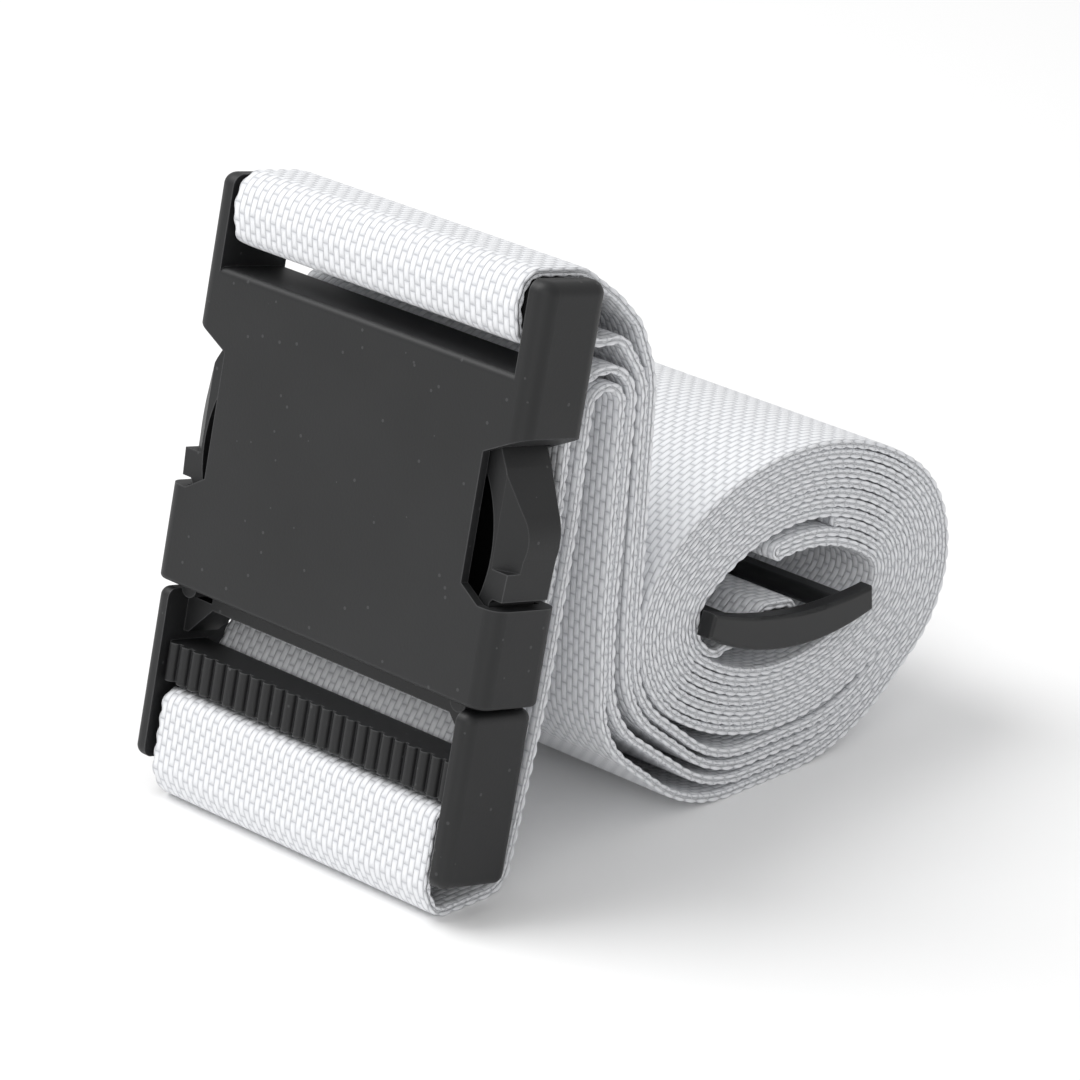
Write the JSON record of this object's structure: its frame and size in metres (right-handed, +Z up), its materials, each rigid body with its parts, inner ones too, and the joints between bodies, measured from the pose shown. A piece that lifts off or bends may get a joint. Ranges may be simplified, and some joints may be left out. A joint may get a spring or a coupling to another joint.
{
  "type": "luggage strap",
  "caption": "Wide flat webbing strap, folded and coiled, with a side-release buckle standing at one end and a slider at the centre of the coil.",
  "frame": {"origin": "on the surface the strap lies on, under the middle of its overall box", "axes": "+Z up, +X across the webbing's width, -Y the side the buckle's front faces"},
  "size_m": [0.0588, 0.0926, 0.0784],
  "materials": {
    "buckle_plastic": "fine moulded texture, charcoal black",
    "slider_plastic": "satin charcoal black",
    "webbing": "flat woven polypropylene, white",
    "thread": "white sewing thread"
  },
  "bodies": {
    "strap": {"webbing_main": "webbing", "webbing_sewn_end": "webbing", "bar_tack": "thread", "slider": "slider_plastic", "plug_frame": "buckle_plastic"},
    "socket_side": {"socket": "buckle_plastic", "webbing_socket_loop": "webbing"},
    "arm_left": {"arm_left": "buckle_plastic"},
    "arm_right": {"arm_right": "buckle_plastic"}
  },
  "joints": [
    {"name": "unplug", "type": "slide", "parent": "strap", "child": "socket_side", "axis": [0, 0.229, 0.9734], "range_m": [0, 0.04], "deforming": ["arm_left", "arm_right"]},
    {"name": "arm_left_flex", "type": "hinge", "parent": "strap", "child": "arm_left", "pos_m": [-0.0243, -0.03564, 0.0263], "axis": [0, 0.9734, -0.229], "range_deg": [0, 7], "stiffness_Nm_per_rad": 2.7},
    {"name": "arm_right_flex", "type": "hinge", "parent": "strap", "child": "arm_right", "pos_m": [0.0243, -0.03564, 0.0263], "axis": [0, -0.9734, 0.229], "range_deg": [0, 7], "stiffness_Nm_per_rad": 2.7}
  ]
}
